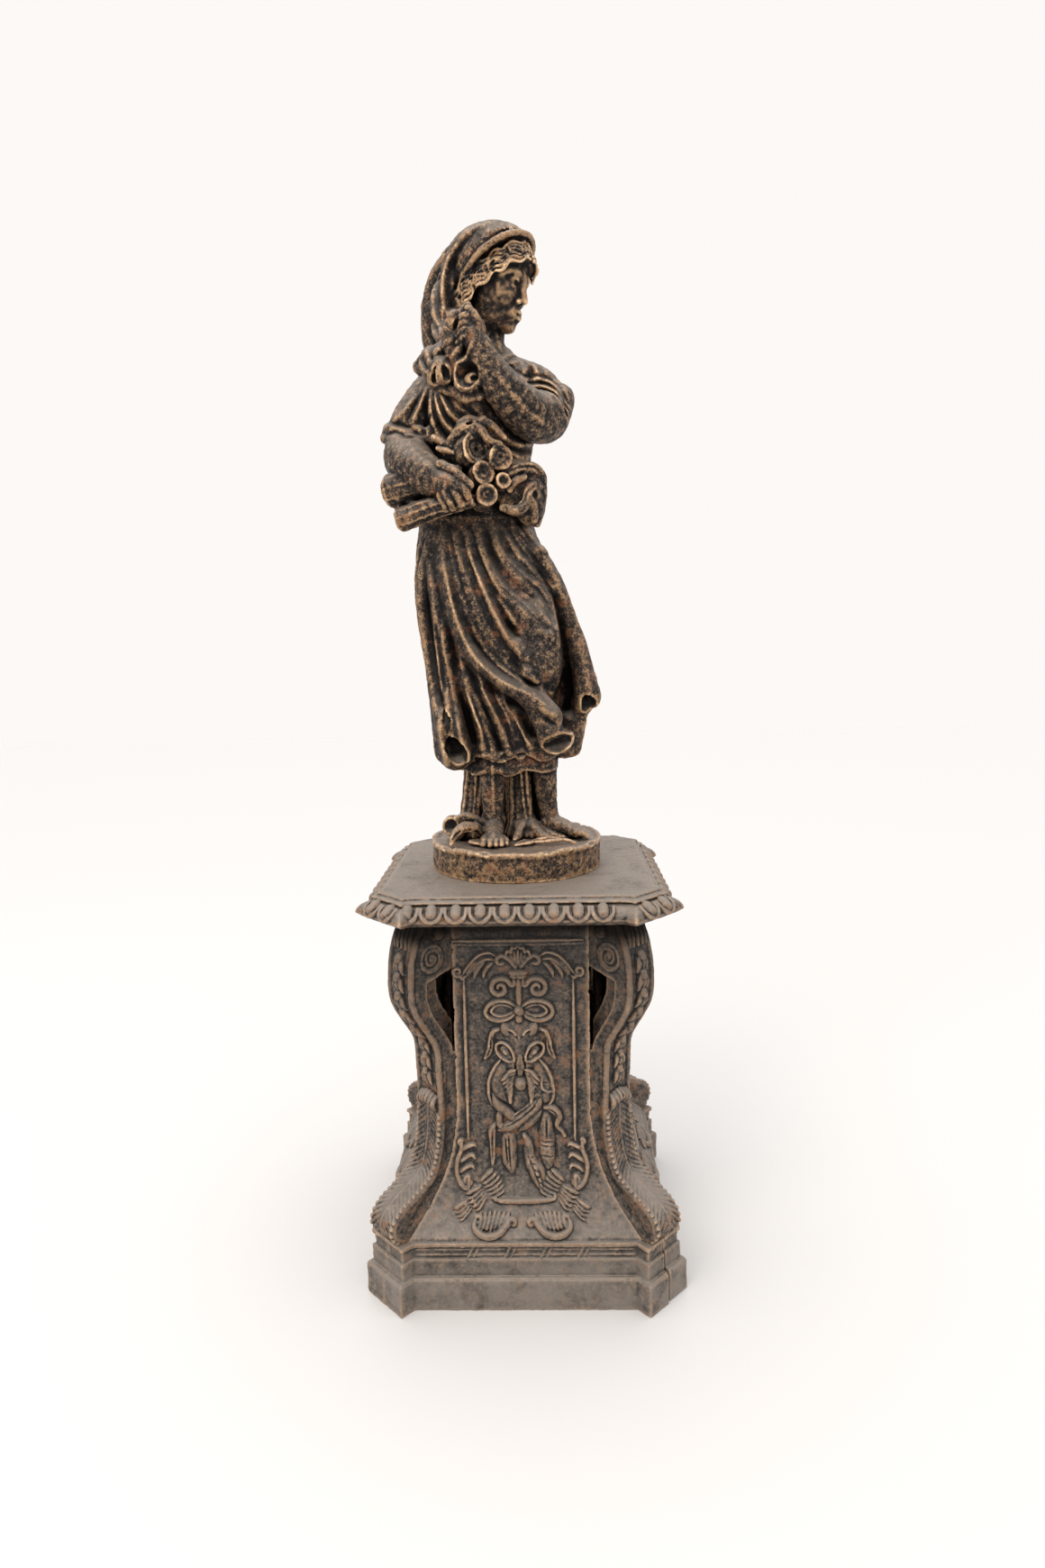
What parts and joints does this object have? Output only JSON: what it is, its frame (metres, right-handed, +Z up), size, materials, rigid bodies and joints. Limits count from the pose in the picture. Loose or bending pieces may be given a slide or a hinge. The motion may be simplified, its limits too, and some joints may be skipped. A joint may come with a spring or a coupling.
{
  "type": "garden statue on pedestal",
  "caption": "Standing veiled woman in long draped clothes carrying firewood, on a round plinth and a square pedestal with scroll brackets, relief panels and a moulded cap.",
  "frame": {"origin": "centre of the pedestal's underside, where it stands on the ground", "axes": "+Z up; the pedestal's front panel and the figure's chest face -Y; +X is to the right seen from the front, the way the head looks"},
  "size_m": [0.5208, 0.5208, 1.6976],
  "materials": {
    "bronzed_iron": "coarse dark brown-black cast iron rubbed with bronze-gold on its high points",
    "weathered_iron": "dark iron with a dusty grey bloom, copper-brown rubbed edges and a little rust"
  },
  "bodies": {
    "root": {"statue": "bronzed_iron", "cap": "weathered_iron", "side_front": "weathered_iron", "side_right": "weathered_iron", "side_back": "weathered_iron", "side_left": "weathered_iron", "bracket_front_left": "weathered_iron", "bracket_front_right": "weathered_iron", "bracket_back_right": "weathered_iron", "bracket_back_left": "weathered_iron"}
  },
  "joints": []
}
